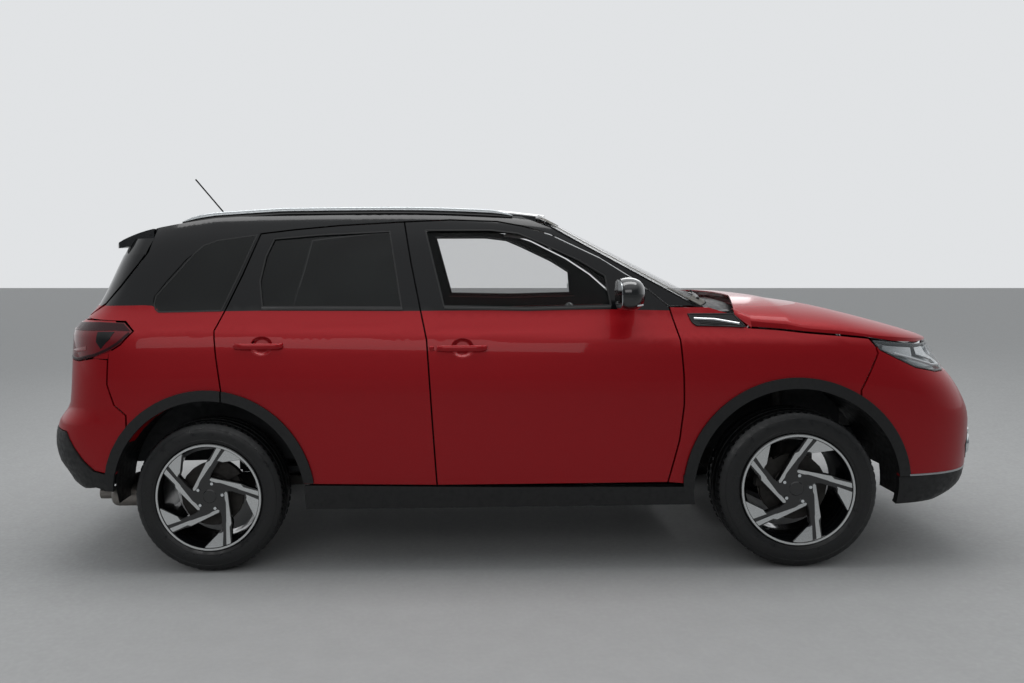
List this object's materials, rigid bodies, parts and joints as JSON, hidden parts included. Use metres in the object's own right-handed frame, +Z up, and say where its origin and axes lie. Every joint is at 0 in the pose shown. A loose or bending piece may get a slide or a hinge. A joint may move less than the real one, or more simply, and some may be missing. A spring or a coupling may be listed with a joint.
{
  "type": "compact sport utility vehicle",
  "caption": "Five-door compact sport utility vehicle with opening doors, hood and tailgate, steered front wheels and a furnished cabin.",
  "frame": {"origin": "on the ground plane under the middle of the car's length and width", "axes": "+X forward along the car, +Y to its left, +Z up"},
  "size_m": [4.1831, 2.01, 1.7957],
  "materials": {
    "body_paint": "deep red gloss paint over steel panels",
    "black_gloss": "gloss black paint",
    "black_plastic": "grained dark grey moulding",
    "window_glass": "clear and tinted glass",
    "clear_lens": "clear lens over bright reflectors",
    "red_lens": "dark red lens",
    "painted_steel": "dark primed steel",
    "alloy": "machined and black painted alloy",
    "tyre": "black rubber",
    "satin_rail": "satin anodised",
    "seat_fabric": "dark grey woven cloth",
    "cabin_plastic": "grained dark grey",
    "cast_iron": "raw cast surface"
  },
  "bodies": {
    "body": {"antenna": "black_plastic", "body_frame": "painted_steel", "body_side_left": "body_paint", "body_side_right": "body_paint", "cowl_panel": "black_plastic", "dashboard": "cabin_plastic", "engine_block": "cast_iron", "front_bumper": "body_paint", "front_fender_left": "body_paint", "front_fender_right": "body_paint", "front_liner_left": "painted_steel", "front_liner_right": "painted_steel", "front_seat_left": "seat_fabric", "front_seat_right": "seat_fabric", "front_skirt": "black_plastic", "front_structure": "painted_steel", "front_subframe": "painted_steel", "headlamp_left": "clear_lens", "headlamp_right": "clear_lens", "quarter_glass_left": "window_glass", "quarter_glass_right": "window_glass", "rear_axle": "cast_iron", "rear_bench": "seat_fabric", "rear_bumper": "body_paint", "rear_skirt": "black_plastic", "rear_structure": "painted_steel", "roof_panel": "black_gloss", "roof_rail_left": "satin_rail", "roof_rail_right": "satin_rail", "side_cladding_left": "black_plastic", "side_cladding_right": "black_plastic", "tail_lamp_left": "red_lens", "tail_lamp_right": "red_lens", "upper_grille": "black_gloss", "windshield": "window_glass"},
    "front_door_left": {"front_door_left": "body_paint", "front_door_glass_left": "window_glass", "mirror_left": "black_gloss"},
    "rear_door_left": {"rear_door_left": "body_paint", "rear_door_glass_left": "window_glass"},
    "knuckle_left": {"knuckle_left": "cast_iron"},
    "wheel_front_left": {"wheel_front_left": "alloy", "tyre_front_left": "tyre"},
    "wheel_rear_left": {"wheel_rear_left": "alloy", "tyre_rear_left": "tyre"},
    "front_door_right": {"front_door_right": "body_paint", "front_door_glass_right": "window_glass", "mirror_right": "black_gloss"},
    "rear_door_right": {"rear_door_right": "body_paint", "rear_door_glass_right": "window_glass"},
    "knuckle_right": {"knuckle_right": "cast_iron"},
    "wheel_front_right": {"wheel_front_right": "alloy", "tyre_front_right": "tyre"},
    "wheel_rear_right": {"wheel_rear_right": "alloy", "tyre_rear_right": "tyre"},
    "hood": {"hood": "body_paint"},
    "tailgate": {"tailgate": "body_paint", "tailgate_glass": "window_glass", "roof_spoiler": "black_gloss"},
    "steering_wheel": {"steering_wheel": "cabin_plastic"}
  },
  "joints": [
    {"name": "front_door_left_hinge", "type": "hinge", "parent": "body", "child": "front_door_left", "pos_m": [0.74475, 0.869, 0.819], "axis": [0, 0, -1], "range_deg": [0, 65]},
    {"name": "rear_door_left_hinge", "type": "hinge", "parent": "body", "child": "rear_door_left", "pos_m": [-0.329, 0.869, 0.99067], "axis": [0, 0, -1], "range_deg": [0, 65]},
    {"name": "front_door_right_hinge", "type": "hinge", "parent": "body", "child": "front_door_right", "pos_m": [0.74475, -0.869, 0.819], "axis": [0, 0, 1], "range_deg": [0, 65]},
    {"name": "rear_door_right_hinge", "type": "hinge", "parent": "body", "child": "rear_door_right", "pos_m": [-0.329, -0.869, 0.99067], "axis": [0, 0, 1], "range_deg": [0, 65]},
    {"name": "hood_hinge", "type": "hinge", "parent": "body", "child": "hood", "pos_m": [0.9775, 0, 1.10715], "axis": [0, -1, 0], "range_deg": [0, 50]},
    {"name": "tailgate_hinge", "type": "hinge", "parent": "body", "child": "tailgate", "pos_m": [-1.5677, 0, 1.51672], "axis": [0, 1, 0], "range_deg": [0, 80]},
    {"name": "steer_left", "type": "hinge", "parent": "body", "child": "knuckle_left", "pos_m": [1.2275, 0.7055, 0.33], "axis": [0, 0, 1], "range_deg": [-35, 35]},
    {"name": "steer_right", "type": "hinge", "parent": "body", "child": "knuckle_right", "pos_m": [1.2275, -0.7055, 0.33], "axis": [0, 0, 1], "range_deg": [-35, 35]},
    {"name": "steering_wheel_turn", "type": "hinge", "parent": "body", "child": "steering_wheel", "pos_m": [0.285, -0.36, 0.93], "axis": [-0.9135, 0, 0.4067], "range_deg": [-540, 540]},
    {"name": "wheel_front_left_spin", "type": "hinge", "parent": "knuckle_left", "child": "wheel_front_left", "pos_m": [1.2275, 0.7675, 0.33], "axis": [0, 1, 0], "continuous": true},
    {"name": "wheel_rear_left_spin", "type": "hinge", "parent": "body", "child": "wheel_rear_left", "pos_m": [-1.2725, 0.7525, 0.33], "axis": [0, 1, 0], "continuous": true},
    {"name": "wheel_front_right_spin", "type": "hinge", "parent": "knuckle_right", "child": "wheel_front_right", "pos_m": [1.2275, -0.7675, 0.33], "axis": [0, 1, 0], "continuous": true},
    {"name": "wheel_rear_right_spin", "type": "hinge", "parent": "body", "child": "wheel_rear_right", "pos_m": [-1.2725, -0.7525, 0.33], "axis": [0, 1, 0], "continuous": true}
  ],
  "couplings": [
    {"joint": "steer_right", "follows": "steer_left", "ratio": 1},
    {"joint": "steering_wheel_turn", "follows": "steer_left", "ratio": 15.4}
  ]
}
